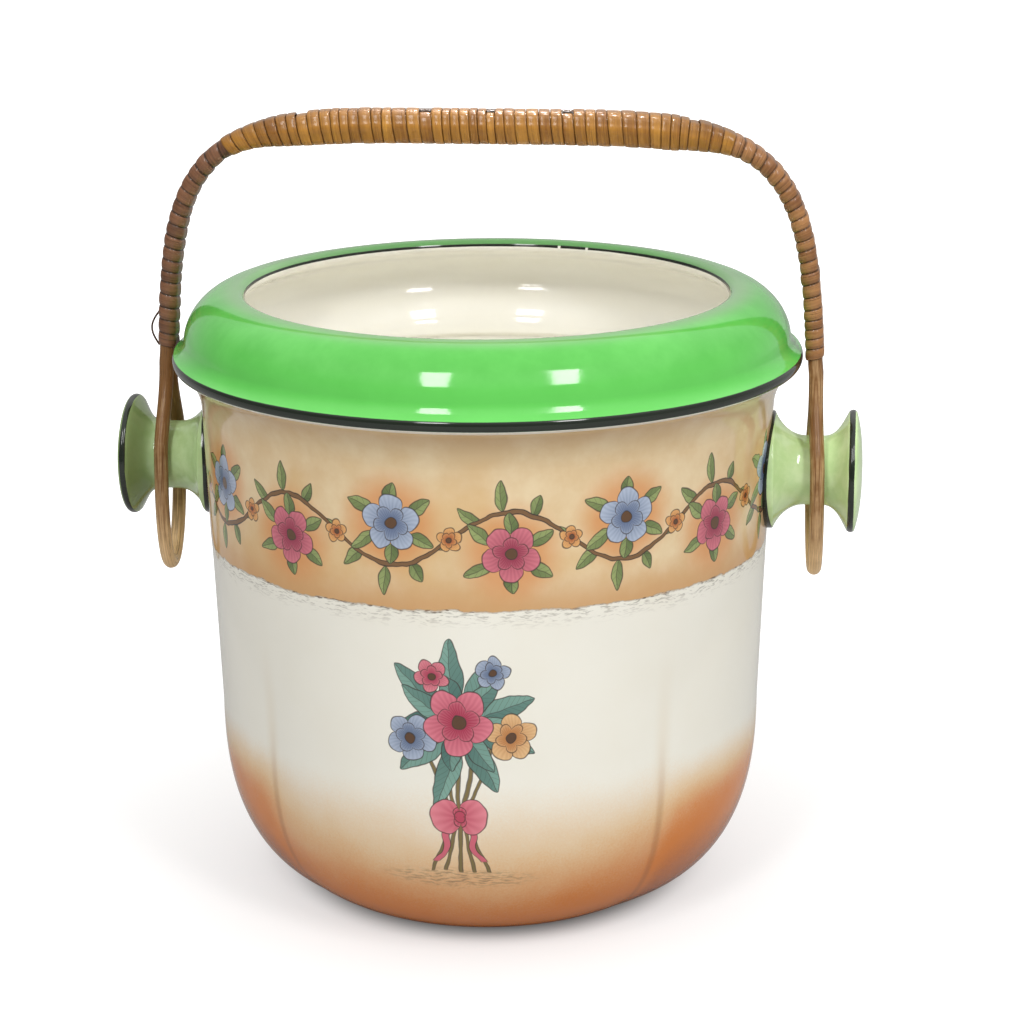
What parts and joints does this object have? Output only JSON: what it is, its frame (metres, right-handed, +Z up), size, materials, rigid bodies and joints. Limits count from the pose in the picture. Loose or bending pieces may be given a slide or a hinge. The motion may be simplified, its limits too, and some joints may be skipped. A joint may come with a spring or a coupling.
{
  "type": "slop jar",
  "caption": "Lobed earthenware slop jar with a wide overhanging collar, spool knobs at its sides and a cane-wrapped bail handle that swings on them.",
  "frame": {"origin": "centre of the foot, on the surface that the jar stands on", "axes": "+Z up along the jar's axis, X along the knobs' common axis, -Y towards the viewer in the picture"},
  "size_m": [0.3346, 0.28, 0.3522],
  "materials": {
    "body_glaze": "ivory gloss glaze with a painted tan band and an orange-brown shaded foot",
    "collar_glaze": "bright green gloss glaze with near-black lines, cream inside",
    "knob_glaze": "thin yellow-green gloss glaze with near-black lines",
    "cane_rod": "varnished rattan rod",
    "leader_cane": "dark varnished cane strip",
    "golden_cane": "golden varnished cane strip",
    "brown_cane": "brown varnished cane strip",
    "tan_cane": "tan varnished cane strip"
  },
  "bodies": {
    "jar": {"jar_body": "body_glaze", "rim_collar": "collar_glaze", "left_knob": "knob_glaze", "right_knob": "knob_glaze"},
    "bail": {"bow_cane": "cane_rod", "front_filler_cane": "cane_rod", "back_filler_cane": "cane_rod", "grip_leader": "leader_cane", "grip_binding": "golden_cane", "left_leg_binding": "brown_cane", "right_leg_binding": "tan_cane", "left_binding_tail": "brown_cane"}
  },
  "joints": [
    {"name": "bail_swing", "type": "hinge", "parent": "jar", "child": "bail", "pos_m": [0, 0, 0.193], "axis": [1, 0, 0], "range_deg": [-52.5, 52.5]}
  ]
}
